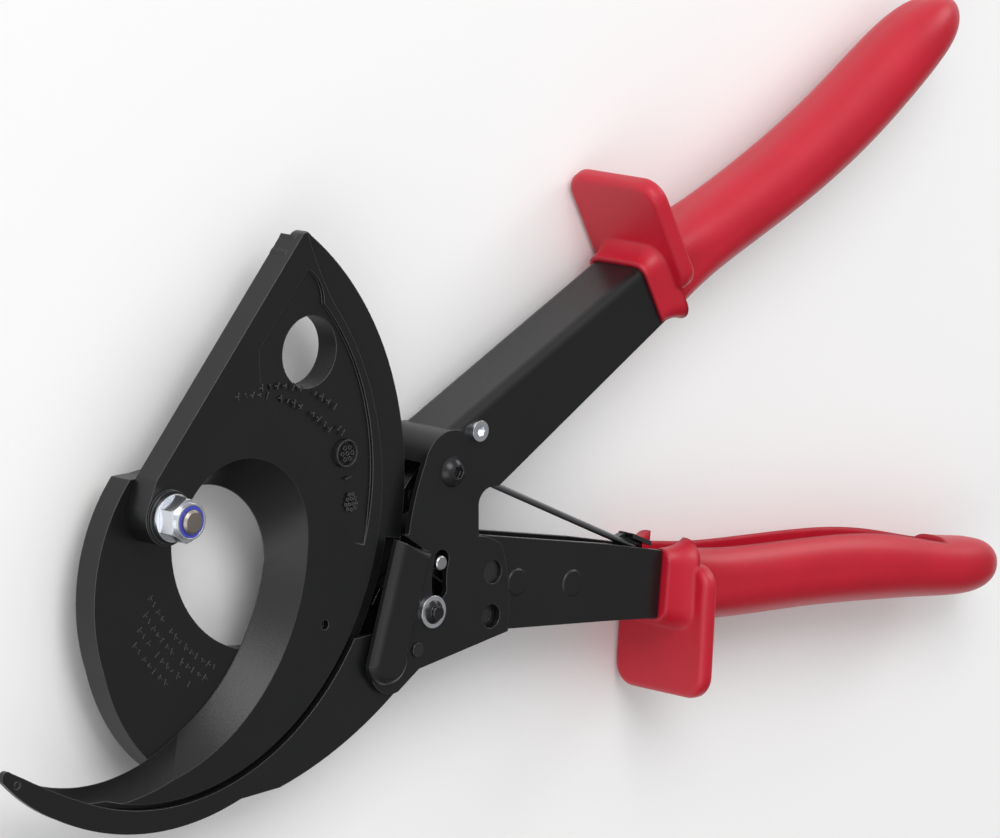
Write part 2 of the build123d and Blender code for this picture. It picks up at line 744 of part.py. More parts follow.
def rod(start, end, radius, height):
    """Straight wire between two points at one height, with rounded ends."""
    run = Vector(end[0] - start[0], end[1] - start[1], 0)
    plane = Plane(origin=(start[0], start[1], height), z_dir=run)
    body = extrude(plane * Circle(radius), run.length)
    return body + Pos(end[0], end[1], height) * Sphere(radius) + Pos(start[0], start[1], height) * Sphere(radius)


def make_return_spring_leg():
    """Moving leg of the return spring with the turn it grows from."""
    height = 6.6
    start = about(PAWL_BOLT, COIL_RADIUS, 58.0)
    bend = (141.0, -7.9)
    end = (210.5, -40.1)
    leg = coil_turn(PAWL_BOLT, COIL_RADIUS, WIRE, height)
    return leg + rod(start, bend, WIRE, height) + rod(bend, end, WIRE, height)


def make_return_spring_coil():
    """Fixed turn of the return spring and its short leg against the frame's web."""
    coil = coil_turn(PAWL_BOLT, COIL_RADIUS, 0.95, 9.6)
    return coil + rod(about(PAWL_BOLT, COIL_RADIUS, 150.0), (114.8, 5.6), 0.95, 9.6)


# ---------------------------------------------------------------- fasteners

def make_main_bolt():
    """Pivot bolt: hexagon head and washer at the back, threaded end in front."""
    bolt = hexagon((0, 0), M8_ACROSS_FLATS, JAW_BACK - WASHER_THICK - M8_HEAD_HIGH, JAW_BACK - WASHER_THICK)
    bolt = bolt + disc((0, 0), 8.0, JAW_BACK - WASHER_THICK, JAW_BACK)
    bolt = bolt + disc((0, 0), M8, JAW_BACK - 1, BOLT_END)
    end = [edge for edge in bolt.edges() if abs(edge.center().Z - BOLT_END) < 0.01]
    return chamfer(end, 0.8)


def make_front_washer():
    """Washer between the nut and the blade."""
    return ring((0, 0), 7.8, M8 + 0.05, BOSS_FRONT + 0.2, BOSS_FRONT + 0.2 + WASHER_THICK)


def make_lock_nut():
    """Nylon-insert nut on the pivot bolt, with its collar turned in over the insert."""
    base = BOSS_FRONT + 0.2 + WASHER_THICK
    hexes = hexagon((0, 0), M8_ACROSS_FLATS, base, base + M8_NUT_HIGH - 1.6)
    crown = Pos(0, 0, base - 1) * Cone(11.6, 6.2, M8_NUT_HIGH + 0.6, align=UPWARD)
    collar = disc((0, 0), 5.9, base + M8_NUT_HIGH - 1.7, base + M8_NUT_HIGH)
    nut = (hexes & crown) + collar
    nut = nut - disc((0, 0), 5.2, base + M8_NUT_HIGH - 1.9, base + M8_NUT_HIGH + 1)
    return nut - disc((0, 0), M8, base - 1, base + 12)


def make_nut_insert():
    """Nylon ring in the top of the lock nut."""
    base = BOSS_FRONT + 0.2 + WASHER_THICK
    return ring((0, 0), 5.2, M8, base + M8_NUT_HIGH - 1.9, base + M8_NUT_HIGH - 0.2)


def socket_cut(centre, flats, low, high):
    """Hexagon socket to take out of a screw's head."""
    return hexagon(centre, flats, low, high, turn=0)


def dome(centre, radius, low, high):
    """Spherical cap that stands on a plane."""
    tall = high - low
    ball = (radius ** 2 + tall ** 2) / (2 * tall)
    cap = Pos(centre[0], centre[1], high - ball) * Sphere(ball)
    return cap & disc(centre, radius + 1, low, high + 1)


def make_holding_pawl_bolt():
    """Button-head bolt that the holding pawl, its lever and the return spring sit on."""
    front = FRONT_CHEEK + SHEET
    bolt = disc(PAWL_BOLT, M6, REAR_CHEEK - 7.6, front)
    head = dome(PAWL_BOLT, 5.25, front, front + 3.2)
    return bolt + head - socket_cut(PAWL_BOLT, 4.0, front + 1.3, front + 4)


def make_pawl_sleeve():
    """Sleeve on the bolt between the cheeks, on which the holding pawl turns."""
    return ring(PAWL_BOLT, 3.8, M6, REAR_CHEEK + SHEET, FRONT_CHEEK)


def make_spacer_screw():
    """Socket-head screw through the spacer at the root of the upper handle."""
    front = FRONT_CHEEK + SHEET
    screw = disc(SPACER_SCREW, M4, REAR_CHEEK - 4.2, front) + disc(SPACER_SCREW, 3.5, front, front + 2.0)
    return screw - socket_cut(SPACER_SCREW, 3.0, front + 0.6, front + 5)


def make_spacer_sleeves():
    """Spacer sleeves that hold the cheeks apart, and the jaw against the rear one."""
    high = ring(SPACER_SCREW, 3.8, M4, REAR_CHEEK + SHEET, FRONT_CHEEK)
    frame_sleeve = ring(FRAME_BOLT, SLEEVE, M6, 0.0, FRONT_CHEEK)
    guard_sleeve = ring(GUARD_PIN, SLEEVE, PIN, 0.0, GUARD_BACK)
    return Compound(children=[high, frame_sleeve, guard_sleeve])


def make_frame_bolt():
    """Domed bolt through the frame and the fixed jaw."""
    front = FRONT_CHEEK + SHEET + 1.0
    bolt = disc(FRAME_BOLT, M6, REAR_CHEEK - 5.4, front)
    return bolt + dome(FRAME_BOLT, 4.0, front, front + 1.4) + disc(FRAME_BOLT, 2.2, front, front + 2.4)


def make_frame_bolt_washer():
    """Bright washer under the frame bolt's head."""
    return ring(FRAME_BOLT, 5.4, M6, FRONT_CHEEK + SHEET, FRONT_CHEEK + SHEET + 1.0)


def make_guard_pin():
    """Rivet through the guard, both cheeks and the jaw."""
    pin = disc(GUARD_PIN, PIN, REAR_CHEEK - 0.9, FRONT_CHEEK + SHEET + 0.7)
    return pin + disc(GUARD_PIN, 3.4, REAR_CHEEK - 0.9, REAR_CHEEK)


def make_frame_nuts():
    """Plain nuts behind the rear cheek: two of M6 and one of M4."""
    pawl = hexagon(PAWL_BOLT, 10.0, REAR_CHEEK - 7.8, REAR_CHEEK - 2.8) - disc(PAWL_BOLT, M6, -40, 0)
    frame_nut = hexagon(FRAME_BOLT, 10.0, REAR_CHEEK - 5.0, REAR_CHEEK) - disc(FRAME_BOLT, M6, -40, 0)
    spacer = hexagon(SPACER_SCREW, 7.0, REAR_CHEEK - 3.2, REAR_CHEEK) - disc(SPACER_SCREW, M4, -40, 0)
    return Compound(children=[pawl, frame_nut, spacer])


def make_handle_pivot_pin():
    """Stepped pin the lower handle turns on, with its head inside the front cheek."""
    pin = disc(HANDLE_PIVOT, 3.0, REAR_CHEEK - 1.4, FRONT_CHEEK)
    pin = pin + disc(HANDLE_PIVOT, 3.9, FRONT_CHEEK, FRONT_CHEEK + 0.8)
    return pin + disc(HANDLE_PIVOT, 4.4, REAR_CHEEK - 1.4, REAR_CHEEK)


def make_drive_pawl_pin():
    """Pin of the drive pawl: it shows through the curved slot of the front cheek."""
    pin = disc(DRIVE_PIN, PIN, 0.35, FRONT_CHEEK + SHEET + 0.6)
    end = [edge for edge in pin.edges() if abs(edge.center().Z - FRONT_CHEEK - SHEET - 0.6) < 0.01]
    return chamfer(end, 0.4)


def make_pawl_springs():
    """Small torsion springs of the two pawls, drawn as closed turns."""
    drive = [coil_turn(DRIVE_PIN, 3.1, 0.4, height) for height in (4.95, 5.8)]
    return Compound(children=drive)


def make_holding_pawl_spring():
    """Light spring over the holding pawl, drawn as one closed turn with a leg."""
    turn = coil_turn(PAWL_BOLT, 4.5, 0.3, 4.85)
    return turn + rod(about(PAWL_BOLT, 4.5, 90.0), (126.5, 4.4), 0.3, 4.85)


# ---------------------------------------------------------------- writing out

frame_piece = make_upper_frame()
handle_piece = make_lower_handle()

parts = {
    "upper_frame": frame_piece,
    "upper_grip": make_upper_grip(frame_piece),
    "fixed_jaw": make_fixed_jaw(),
    "rim_guard": make_rim_guard(),
    "main_bolt": make_main_bolt(),
    "front_washer": make_front_washer(),
    "lock_nut": make_lock_nut(),
    "nut_insert": make_nut_insert(),
    "holding_pawl_bolt": make_holding_pawl_bolt(),
    "pawl_sleeve": make_pawl_sleeve(),
    "spacer_screw": make_spacer_screw(),
    "spacer_sleeves": make_spacer_sleeves(),
    "frame_bolt": make_frame_bolt(),
    "frame_bolt_washer": make_frame_bolt_washer(),
    "guard_pin": make_guard_pin(),
    "frame_nuts": make_frame_nuts(),
    "handle_pivot_pin": make_handle_pivot_pin(),
    "return_spring_coil": make_return_spring_coil(),
    "holding_pawl_spring": make_holding_pawl_spring(),
    "moving_blade": make_moving_blade(),
    "blade_bush": make_blade_bush(),
    "lower_handle": handle_piece,
    "lower_grip": make_lower_grip(handle_piece),
    "drive_lever": make_drive_lever(),
    "lever_rivet": make_lever_rivet(),
    "channel_rivets": make_channel_rivets(),
    "drive_pawl_pin": make_drive_pawl_pin(),
    "drive_pawl_spring": make_pawl_springs(),
    "spring_clip": make_spring_clip(),
    "drive_pawl": make_drive_pawl(),
    "holding_pawl": make_holding_pawl(),
    "release_lever": make_release_lever(),
    "return_spring_leg": make_return_spring_leg(),
}

boxes = [shape.bounding_box() for shape in parts.values()]
low_x = min(box.min.X for box in boxes)
high_x = max(box.max.X for box in boxes)
low_y = min(box.min.Y for box in boxes)
high_y = max(box.max.Y for box in boxes)
low_z = min(box.min.Z for box in boxes)
high_z = max(box.max.Z for box in boxes)
home = Pos(-(low_x + high_x) / 2, -(low_y + high_y) / 2, -low_z)

os.makedirs("parts", exist_ok=True)
for node, shape in parts.items():
    export_step(home * shape, "parts/" + node + ".step")
    print(node, len(shape.solids()), round(shape.volume))

print("size", round(high_x - low_x, 2), round(high_y - low_y, 2), round(high_z - low_z, 2))
print("moved by", -(low_x + high_x) / 2, -(low_y + high_y) / 2, -low_z)
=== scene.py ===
"""Ratchet cable cutter: the looks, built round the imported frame."""
import json
import logging
import math
from dataclasses import dataclass, field
from enum import Enum
from typing import ClassVar

import bmesh
import bpy
from mathutils import Matrix, Vector


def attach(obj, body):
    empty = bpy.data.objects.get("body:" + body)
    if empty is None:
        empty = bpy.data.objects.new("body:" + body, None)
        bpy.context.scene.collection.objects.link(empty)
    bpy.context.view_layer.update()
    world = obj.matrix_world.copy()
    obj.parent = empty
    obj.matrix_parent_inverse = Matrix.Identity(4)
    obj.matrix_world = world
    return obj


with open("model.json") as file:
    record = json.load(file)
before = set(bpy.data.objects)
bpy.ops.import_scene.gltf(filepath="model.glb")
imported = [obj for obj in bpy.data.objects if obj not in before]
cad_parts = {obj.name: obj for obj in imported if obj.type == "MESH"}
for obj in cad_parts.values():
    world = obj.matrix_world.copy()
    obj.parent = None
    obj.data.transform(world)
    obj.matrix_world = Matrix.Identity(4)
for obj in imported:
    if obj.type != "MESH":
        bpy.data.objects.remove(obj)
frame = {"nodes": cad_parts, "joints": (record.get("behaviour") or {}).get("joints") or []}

logging.basicConfig(level=logging.INFO, format="%(message)s")
LOG = logging.getLogger("cutter")

MM = 0.001
LIGHTER = 1.35
COAT_ROUGHNESS = 0.12
BUMP_DEPTH = 0.0002
RING_STEPS = 28
FLOOR_SIZE = 6.0
FLOOR_DROP = 0.0005
Colour = tuple[float, float, float, float]


class Body(Enum):
    """Bodies of the frame that new pieces ride on."""

    FRAME = "frame"
    BLADE = "blade"
    LOWER = "lower_handle"


@dataclass
class Places:
    """Points of the mechanism, read from the frame's joints, in metres."""

    joints: dict = field(default_factory=dict)

    def joint(self, name: str) -> Vector:
        """Returns a joint's place.

        Args:
            name: The joint's name in the record.

        Returns:
            Its point in the frame.
        """
        return Vector(self.joints[name])

    @classmethod
    def read(cls) -> "Places":
        """Returns the places of every hinge in the frame."""
        return cls({j["name"]: j["pos_m"] for j in frame["joints"] if "pos_m" in j})


# ------------------------------------------------------------------ finishes


class Groups:
    """Shader node groups that several finishes share, each built once."""

    def __init__(self) -> None:
        """Builds the groups."""
        self.edge = self._edge_mask()
        self.grain = self._grain()

    @staticmethod
    def _edge_mask() -> bpy.types.ShaderNodeTree:
        """Returns a group that gives a mask of outer edges, used for the painted edge highlight, and a
        rounded normal.
        """
        tree = bpy.data.node_groups.new("rounded_edges", "ShaderNodeTree")
        tree.interface.new_socket("Radius", in_out="INPUT", socket_type="NodeSocketFloat")
        tree.interface.new_socket("Mask", in_out="OUTPUT", socket_type="NodeSocketFloat")
        tree.interface.new_socket("Normal", in_out="OUTPUT", socket_type="NodeSocketVector")
        start = tree.nodes.new("NodeGroupInput")
        end = tree.nodes.new("NodeGroupOutput")
        bevel = tree.nodes.new("ShaderNodeBevel")
        bevel.samples = 6
        geometry = tree.nodes.new("ShaderNodeNewGeometry")
        dot = tree.nodes.new("ShaderNodeVectorMath")
        dot.operation = "DOT_PRODUCT"
        spread = tree.nodes.new("ShaderNodeMapRange")
        spread.inputs["From Min"].default_value = 0.99
        spread.inputs["From Max"].default_value = 0.80
        tree.links.new(start.outputs["Radius"], bevel.inputs["Radius"])
        tree.links.new(bevel.outputs["Normal"], dot.inputs[0])
        tree.links.new(geometry.outputs["True Normal"], dot.inputs[1])
        tree.links.new(dot.outputs["Value"], spread.inputs["Value"])
        tree.links.new(spread.outputs["Result"], end.inputs["Mask"])
        tree.links.new(bevel.outputs["Normal"], end.inputs["Normal"])
        return tree

    @staticmethod
    def _grain() -> bpy.types.ShaderNodeTree:
        """Returns a group of fine and broad variation on Object coordinates."""
        tree = bpy.data.node_groups.new("surface_variation", "ShaderNodeTree")
        tree.interface.new_socket("Fine", in_out="INPUT", socket_type="NodeSocketFloat")
        tree.interface.new_socket("Broad", in_out="INPUT", socket_type="NodeSocketFloat")
        tree.interface.new_socket("Pores", in_out="OUTPUT", socket_type="NodeSocketFloat")
        tree.interface.new_socket("Clouds", in_out="OUTPUT", socket_type="NodeSocketFloat")
        start = tree.nodes.new("NodeGroupInput")
        end = tree.nodes.new("NodeGroupOutput")
        coords = tree.nodes.new("ShaderNodeTexCoord")
        for socket, out, detail in (("Fine", "Pores", 3.0), ("Broad", "Clouds", 4.0)):
            noise = tree.nodes.new("ShaderNodeTexNoise")
            noise.inputs["Detail"].default_value = detail
            tree.links.new(coords.outputs["Object"], noise.inputs["Vector"])
            tree.links.new(start.outputs[socket], noise.inputs["Scale"])
            tree.links.new(noise.outputs["Fac"], end.inputs[out])
        return tree


@dataclass(frozen=True)
class Finish:
    """One surface finish: base colour, the painted highlight colour along its edges, gloss and grain."""

    name: str
    colour: Colour
    edge_highlight_colour: Colour
    metallic: float
    roughness: float
    edge: float = 0.5
    edge_highlight_amount: float = 0.6
    fine: float = 2500.0
    broad: float = 40.0
    bump: float = 0.06
    vary: float = 0.08
    coat: float = 0.0
    sheen: float = 0.5

    def build(self, groups: Groups) -> bpy.types.Material:
        """Makes the material.

        Args:
            groups: The shared node groups.

        Returns:
            A new material.
        """
        material = bpy.data.materials.new(self.name)
        material.use_nodes = True
        tree = material.node_tree
        shader = tree.nodes["Principled BSDF"]
        shader.inputs["Metallic"].default_value = self.metallic
        shader.inputs["Coat Weight"].default_value = self.coat
        shader.inputs["Coat Roughness"].default_value = COAT_ROUGHNESS
        shader.inputs["Specular IOR Level"].default_value = self.sheen
        edges = tree.nodes.new("ShaderNodeGroup")
        edges.node_tree = groups.edge
        edges.inputs["Radius"].default_value = self.edge * MM
        grain = tree.nodes.new("ShaderNodeGroup")
        grain.node_tree = groups.grain
        grain.inputs["Fine"].default_value = self.fine
        grain.inputs["Broad"].default_value = self.broad
        amount = tree.nodes.new("ShaderNodeMath")
        amount.operation = "MULTIPLY"
        amount.use_clamp = True
        amount.inputs[1].default_value = self.edge_highlight_amount
        tree.links.new(edges.outputs["Mask"], amount.inputs[0])
        shade = tree.nodes.new("ShaderNodeMix")
        shade.data_type = "RGBA"
        shade.inputs["A"].default_value = self.colour
        shade.inputs["B"].default_value = tuple(min(1.0, c * LIGHTER) for c in self.colour[:3]) + (1.0,)
        tree.links.new(grain.outputs["Clouds"], shade.inputs["Factor"])
        # Painted highlight: the edge mask mixes a lighter colour onto outer edges, standing in for light
        # catching them.
        edge_highlight_mix = tree.nodes.new("ShaderNodeMix")
        edge_highlight_mix.data_type = "RGBA"
        edge_highlight_mix.inputs["B"].default_value = self.edge_highlight_colour
        tree.links.new(amount.outputs["Value"], edge_highlight_mix.inputs["Factor"])
        tree.links.new(shade.outputs["Result"], edge_highlight_mix.inputs["A"])
        tree.links.new(edge_highlight_mix.outputs["Result"], shader.inputs["Base Color"])
        rough = tree.nodes.new("ShaderNodeMapRange")
        rough.inputs["To Min"].default_value = max(0.02, self.roughness - self.vary)
        rough.inputs["To Max"].default_value = self.roughness + self.vary
        tree.links.new(grain.outputs["Clouds"], rough.inputs["Value"])
        tree.links.new(rough.outputs["Result"], shader.inputs["Roughness"])
        bump = tree.nodes.new("ShaderNodeBump")
        bump.inputs["Strength"].default_value = self.bump
        bump.inputs["Distance"].default_value = BUMP_DEPTH
        tree.links.new(grain.outputs["Pores"], bump.inputs["Height"])
        tree.links.new(edges.outputs["Normal"], bump.inputs["Normal"])
        tree.links.new(bump.outputs["Normal"], shader.inputs["Normal"])
        return material


BLACK = (0.0048, 0.0050, 0.0056, 1.0)
# Each finish's second colour is the painted highlight along its outer edges.
COATED = Finish(
    "black_coating", BLACK, (0.16, 0.16, 0.17, 1.0), 0.0, 0.34,
    edge=0.5, bump=0.16, fine=1400.0, sheen=0.42,
)
PRESSED = Finish(
    "black_pressed_sheet", BLACK, (0.10, 0.10, 0.105, 1.0), 0.0, 0.30,
    edge=0.5, bump=0.08, sheen=0.45,
)
BURNISHED = Finish(
    "black_hardware", (0.02, 0.02, 0.022, 1.0), (0.2, 0.2, 0.2, 1.0), 0.6, 0.22,
    edge=0.4,
)
DARK_STEEL = Finish(
    "dark_steel", (0.07, 0.07, 0.075, 1.0), (0.2, 0.2, 0.21, 1.0), 1.0, 0.36,
    edge=0.3, broad=120.0,
)
RUBBER = Finish(
    "red_dipped_grip", (0.42, 0.0045, 0.019, 1.0), (0.52, 0.012, 0.034, 1.0), 0.0, 0.40,
    edge=2.0, edge_highlight_amount=0.35, fine=1800.0, bump=0.05, vary=0.04,
)
ZINC = Finish(
    "zinc_plate", (0.62, 0.64, 0.68, 1.0), (0.8, 0.8, 0.82, 1.0), 1.0, 0.22,
    edge=0.3, broad=160.0,
)
NYLON = Finish("blue_nylon", (0.05, 0.06, 0.42, 1.0), (0.1, 0.12, 0.6, 1.0), 0.0, 0.35, edge=0.3)
BOLT = Finish(
    "bolt_steel", (0.30, 0.27, 0.24, 1.0), (0.5, 0.46, 0.42, 1.0), 1.0, 0.38,
    edge=0.3, broad=200.0,
)
STEEL = Finish(
    "plain_steel", (0.42, 0.42, 0.44, 1.0), (0.7, 0.7, 0.72, 1.0), 1.0, 0.32,
    edge=0.3, broad=120.0,
)
SPRING = Finish(
    "spring_steel", (0.16, 0.16, 0.17, 1.0), (0.3, 0.3, 0.31, 1.0), 1.0, 0.34,
    edge=0.2, broad=120.0,
)
BRONZE = Finish("bronze", (0.52, 0.33, 0.14, 1.0), (0.7, 0.5, 0.25, 1.0), 1.0, 0.34, edge=0.2)
CLIP = Finish(
    "glossy_clip", (0.006, 0.006, 0.007, 1.0), (0.05, 0.05, 0.05, 1.0), 0.0, 0.14,
    edge=0.5, coat=0.5,
)

DRESSED = {
    COATED: ("moving_blade", "fixed_jaw"),
    PRESSED: ("upper_frame", "rim_guard", "lower_handle", "channel_rivets", "release_lever"),
    BURNISHED: ("holding_pawl_bolt", "frame_bolt"),
    DARK_STEEL: (
        "pawl_sleeve", "spacer_sleeves", "guard_pin", "handle_pivot_pin", "drive_lever",
        "lever_rivet", "drive_pawl", "holding_pawl",
    ),
    RUBBER: ("upper_grip", "lower_grip"),
    ZINC: ("front_washer", "lock_nut", "spacer_screw", "frame_bolt_washer", "frame_nuts"),
    NYLON: ("nut_insert",),
    BOLT: ("main_bolt",),
    STEEL: ("drive_pawl_pin",),
    SPRING: ("return_spring_coil", "holding_pawl_spring", "return_spring_leg", "drive_pawl_spring"),
    BRONZE: ("blade_bush",),
    CLIP: ("spring_clip",),
}


class Dresser:
    """Gives every frame node its finish."""

    def __init__(self, groups: Groups) -> None:
        """Builds the materials.

        Args:
            groups: The shared node groups.
        """
        self.made = {finish: finish.build(groups) for finish in DRESSED}

    def dress(self) -> None:
        """Puts each node's finish in its first material slot."""
        for finish, names in DRESSED.items():
            for name in names:
                mesh = frame["nodes"][name].data
                mesh.materials.clear()
                mesh.materials.append(self.made[finish])
                LOG.info("dressed %s in %s", name, finish.name)


# ------------------------------------------------------------------ relief


@dataclass
class ReliefRow:
    """A row of small raised marks along an arc, on a level face.

    Places are in millimetres from the blade's pivot, and angles in degrees.
    """

    centre: tuple[float, float]
    radius: float
    start: float
    end: float
    mark: float = 2.6
    step: float = 3.1
    gaps: tuple[int, ...] = ()

    def spots(self) -> list[tuple[float, float, float, int]]:
        """Returns each mark's place and turn, with its number in the row."""
        count = int(abs(math.radians(self.end - self.start)) * self.radius / self.step)
        result = []
        for index in range(count + 1):
            if index in self.gaps:
                continue
            angle = math.radians(self.start + (self.end - self.start) * index / count)
            x = self.centre[0] + self.radius * math.cos(angle)
            y = self.centre[1] + self.radius * math.sin(angle)
            result.append((x, y, angle, index))
        return result


@dataclass
class Relief:
    """Raised marks on a face: plain bars and rings that spell nothing."""

    LEANS: ClassVar[tuple[float, ...]] = (0.0, 0.45, -0.35, 0.2, -0.15)
    LENGTHS: ClassVar[tuple[float, ...]] = (1.0, 0.72, 0.9, 0.6)
    BAR_WIDE: ClassVar[float] = 0.62
    SHORT_LONG: ClassVar[float] = 1.1
    SHORT_WIDE: ClassVar[float] = 0.5
    SHIFT: ClassVar[float] = 0.95

    name: str
    pivot: Vector
    level: float
    height: float
    body: Body

    def __post_init__(self) -> None:
        """Starts an empty mesh."""
        self.bm = bmesh.new()

    def bar(self, x: float, y: float, turn: float, long: float, wide: float) -> None:
        """Adds one raised bar with softened edges.

        Args:
            x: Place along X, in millimetres from the pivot.
            y: Place along Y, in millimetres from the pivot.
            turn: Direction of its length, in radians.
            long: Its length in millimetres.
            wide: Its width in millimetres.
        """
        made = bmesh.ops.create_cube(self.bm, size=1.0)["verts"]
        bmesh.ops.scale(self.bm, verts=made, vec=(long * MM, wide * MM, self.height * 2 * MM))
        edges = list({e for v in made for e in v.link_edges})
        bevelled = bmesh.ops.bevel(
            self.bm, geom=edges, offset=min(self.height * 0.5, wide * 0.3) * MM,
            segments=2, affect="EDGES", profile=0.5, material=-1,
        )["verts"]
        verts = list({v for v in made if v.is_valid} | set(bevelled))
        bmesh.ops.rotate(self.bm, verts=verts, cent=(0, 0, 0), matrix=Matrix.Rotation(turn, 3, "Z"))
        place = Vector((self.pivot.x + x * MM, self.pivot.y + y * MM, self.level * MM))
        bmesh.ops.translate(self.bm, verts=verts, vec=place)

    def ring(self, x: float, y: float, radius: float, wide: float) -> None:
        """Adds one raised ring.

        Args:
            x: Place along X, in millimetres from the pivot.
            y: Place along Y, in millimetres from the pivot.
            radius: Its middle radius in millimetres.
            wide: Its width in millimetres.
        """
        half, low, high = wide / 2 * MM, -self.height * 0.3 * MM, self.height * MM
        profile = [
            self.bm.verts.new((radius * MM + a, 0, b))
            for a, b in ((-half, low), (-half * 0.5, high), (half * 0.5, high), (half, low))
        ]
        edges = [self.bm.edges.new((profile[i], profile[(i + 1) % 4])) for i in range(4)]
        bmesh.ops.spin(
            self.bm, geom=profile + edges, cent=(0, 0, 0), axis=(0, 0, 1),
            angle=math.tau, steps=RING_STEPS, use_merge=True, use_duplicate=False,
        )
        verts = set(profile)
        stack = list(verts)
        while stack:
            for edge in stack.pop().link_edges:
                for vert in edge.verts:
                    if vert not in verts:
                        verts.add(vert)
                        stack.append(vert)
        place = Vector((self.pivot.x + x * MM, self.pivot.y + y * MM, self.level * MM))
        bmesh.ops.translate(self.bm, verts=list(verts), vec=place)

    def row(self, row: ReliefRow) -> None:
        """Adds a row of marks.

        Args:
            row: The row's arc and spacing.
        """
        for x, y, angle, index in row.spots():
            lean = self.LEANS[index % len(self.LEANS)]
            long = row.mark * self.LENGTHS[index % len(self.LENGTHS)]
            self.bar(x, y, angle + lean, long, self.BAR_WIDE)
            if index % 3 != 1:
                side = angle + math.pi / 2
                beside_x = x + self.SHIFT * math.cos(side)
                beside_y = y + self.SHIFT * math.sin(side)
                self.bar(beside_x, beside_y, side, self.SHORT_LONG, self.SHORT_WIDE)

    def finish(self, material: bpy.types.Material) -> None:
        """Writes the mesh out as one piece that rides on its body.

        Args:
            material: The finish it shares with the face.
        """
        bmesh.ops.recalc_face_normals(self.bm, faces=self.bm.faces)
        mesh = bpy.data.meshes.new(self.name)
        self.bm.to_mesh(mesh)
        self.bm.free()
        mesh.materials.append(material)
        piece = bpy.data.objects.new(self.name, mesh)
        bpy.context.scene.collection.objects.link(piece)
        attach(piece, self.body.value)
        LOG.info("made %s with %d faces", self.name, len(mesh.polygons))


@dataclass
class CastMarks:
    """The raised marks on the sail of the blade and on the pad of the fixed jaw."""

    SIGN_AT: ClassVar[tuple[float, float]] = (77.0, 10.2)
    DOTS_AT: ClassVar[tuple[float, float]] = (78.6, -6.0)
    DOTS: ClassVar[tuple[tuple[float, float], ...]] = (
        (-1.6, -2.2), (0.0, -2.6), (1.6, -2.2),
        (-2.3, -0.7), (-0.8, -0.8), (0.8, -0.8), (2.3, -0.7),
        (-1.6, 0.9), (0.0, 1.0), (1.6, 0.9),
        (-0.8, 2.4), (0.8, 2.4),
    )

    pivot: Vector
    sail_level: float = 29.5
    jaw_level: float = 19.5

    def sail(self, material: bpy.types.Material) -> None:
        """Makes the two rows, the ringed sign and the dotted patch on the sail.

        Args:
            material: The blade's finish.
        """
        marks = Relief("sail_marks", self.pivot, self.sail_level, 0.32, Body.BLADE)
        marks.row(ReliefRow((42.0, -12.0), 48.5, 92.0, 52.0, gaps=(6,)))
        marks.row(ReliefRow((30.0, -22.0), 57.0, 90.0, 46.0, gaps=(5, 10)))
        x, y = self.SIGN_AT
        marks.ring(x, y, 4.3, 0.8)
        for turn in range(0, 360, 60):
            angle = math.radians(turn)
            marks.ring(x + 2.1 * math.cos(angle), y + 2.1 * math.sin(angle), 0.62, 0.4)
        marks.ring(x, y, 0.62, 0.4)
        for across, along in self.DOTS:
            marks.ring(self.DOTS_AT[0] + across, self.DOTS_AT[1] + along, 0.5, 0.5)
        marks.bar(77.6, 2.0, 0.2, 2.6, 0.7)
        marks.bar(75.2, 17.2, 0.9, 2.4, 0.7)
        marks.bar(73.6, 18.9, 0.7, 2.0, 0.7)
        marks.finish(material)

    def jaw(self, material: bpy.types.Material) -> None:
        """Makes the four rows on the jaw's pad.

        Args:
            material: The jaw's finish.
        """
        marks = Relief("jaw_marks", self.pivot, self.jaw_level, 0.15, Body.FRAME)
        for radius, start, end, gaps in (
            (64.8, 208.0, 242.0, (4,)),
            (69.3, 211.0, 240.0, (7,)),
            (73.8, 213.0, 236.0, (3, 9)),
            (78.3, 215.0, 229.0, ()),
        ):
            marks.row(ReliefRow((58.0, 2.6), radius, start, end, mark=2.4, step=2.9, gaps=gaps))
        marks.finish(material)


# ------------------------------------------------------------------ studio


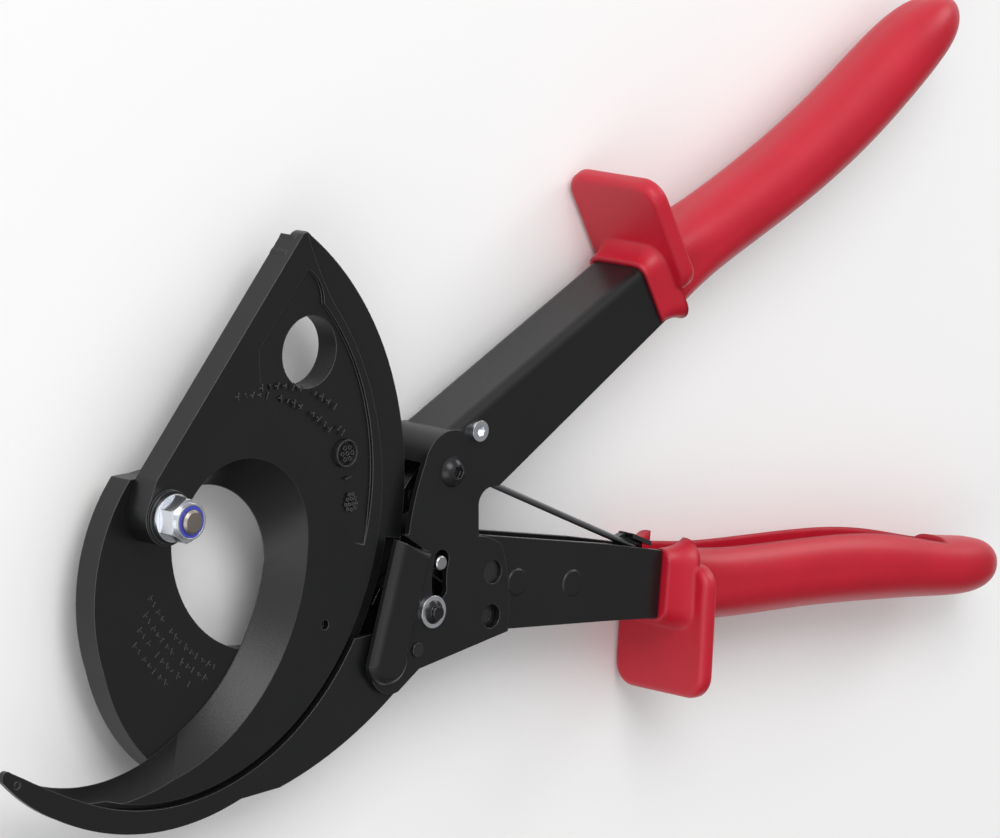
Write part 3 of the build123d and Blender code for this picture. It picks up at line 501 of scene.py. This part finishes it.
@dataclass
class Studio:
    """Floor, soft lights, world and camera."""

    yaw: float = 43.75
    tilt: float = 10.75
    distance: float = 2.5
    lens: float = 283.5
    aim_right: float = -0.10514
    aim_up: float = -0.03111
    face: float = 29.5 * MM
    bright_side: tuple[float, float, float] = (-0.60, 0.72, 0.34)
    dark_level: float = 0.12
    bright_level: float = 0.9

    def floor(self) -> None:
        """Lays the pale floor just under the tool."""
        mesh = bpy.data.meshes.new("floor")
        bm = bmesh.new()
        bmesh.ops.create_grid(bm, x_segments=1, y_segments=1, size=FLOOR_SIZE)
        bmesh.ops.translate(bm, verts=bm.verts, vec=(0, 0, -FLOOR_DROP))
        bm.to_mesh(mesh)
        bm.free()
        floor = bpy.data.objects.new("floor", mesh)
        bpy.context.scene.collection.objects.link(floor)
        material = bpy.data.materials.new("pale_floor")
        material.use_nodes = True
        shader = material.node_tree.nodes["Principled BSDF"]
        shader.inputs["Base Color"].default_value = (0.93, 0.93, 0.93, 1.0)
        shader.inputs["Roughness"].default_value = 0.9
        shader.inputs["Specular IOR Level"].default_value = 0.1
        mesh.materials.append(material)

    def lamp(self, name: str, place: Vector, size: float, power: float, aim: Vector) -> None:
        """Hangs one soft square light.

        Args:
            name: The light's name.
            place: Where it hangs, in metres.
            size: Side of the square, in metres.
            power: Its power in watts.
            aim: The point it faces.
        """
        data = bpy.data.lights.new(name, "AREA")
        data.shape = "SQUARE"
        data.size = size
        data.energy = power
        lamp = bpy.data.objects.new(name, data)
        lamp.location = place
        lamp.rotation_euler = (aim - place).to_track_quat("-Z", "Y").to_euler()
        bpy.context.scene.collection.objects.link(lamp)

    def world(self) -> None:
        """Fills the room with white light, brighter from above and the left."""
        world = bpy.data.worlds.new("room")
        world.use_nodes = True
        back = world.node_tree.nodes["Background"]
        back.inputs["Color"].default_value = (1.0, 1.0, 1.0, 1.0)
        tree = world.node_tree
        coords = tree.nodes.new("ShaderNodeTexCoord")
        dot = tree.nodes.new("ShaderNodeVectorMath")
        dot.operation = "DOT_PRODUCT"
        dot.inputs[1].default_value = self.bright_side
        level = tree.nodes.new("ShaderNodeMapRange")
        level.inputs["From Min"].default_value = -0.7
        level.inputs["From Max"].default_value = 0.9
        level.inputs["To Min"].default_value = self.dark_level
        level.inputs["To Max"].default_value = self.bright_level
        tree.links.new(coords.outputs["Generated"], dot.inputs[0])
        tree.links.new(dot.outputs["Value"], level.inputs["Value"])
        tree.links.new(level.outputs["Result"], back.inputs["Strength"])
        bpy.context.scene.world = world

    def camera(self, pivot: Vector) -> None:
        """Sets the camera that looks at the tool's front from its jaw end.

        Args:
            pivot: The blade's pivot.
        """
        yaw, tilt = math.radians(self.yaw), math.radians(self.tilt)
        look = Vector((math.sin(yaw) * math.cos(tilt), -math.sin(tilt), -math.cos(yaw) * math.cos(tilt)))
        right = look.cross(Vector((0, 1, 0))).normalized()
        up = right.cross(look)
        target = Vector((pivot.x, pivot.y, self.face))
        place = target - look * self.distance - right * self.aim_right - up * self.aim_up
        data = bpy.data.cameras.new("camera")
        data.lens = self.lens
        data.sensor_width = 36.0
        data.clip_end = 50.0
        camera = bpy.data.objects.new("camera", data)
        turn = Matrix((right, up, -look)).transposed().to_4x4()
        camera.matrix_world = Matrix.Translation(place) @ turn
        bpy.context.scene.collection.objects.link(camera)
        bpy.context.scene.camera = camera

    def build(self, pivot: Vector) -> None:
        """Builds the whole studio.

        Args:
            pivot: The blade's pivot.
        """
        self.floor()
        self.world()
        self.camera(pivot)
        middle = Vector((0, 0, 0.02))
        self.lamp("key", Vector((-0.7, 1.4, 1.7)), 1.3, 22.0, middle)
        self.lamp("rim", Vector((1.4, 1.0, 0.7)), 0.7, 6.0, middle)
        self.lamp("fill", Vector((-1.7, -0.6, 1.2)), 1.4, 8.0, middle)
        bpy.context.scene.view_settings.view_transform = "Standard"
        LOG.info("studio ready")


def main() -> None:
    """Builds the scene in order."""
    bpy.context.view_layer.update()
    places = Places.read()
    groups = Groups()
    dresser = Dresser(groups)
    dresser.dress()
    marks = CastMarks(places.joint("blade_swing"))
    marks.sail(dresser.made[COATED])
    marks.jaw(dresser.made[COATED])
    Studio().build(places.joint("blade_swing"))


if __name__ == "__main__":
    main()
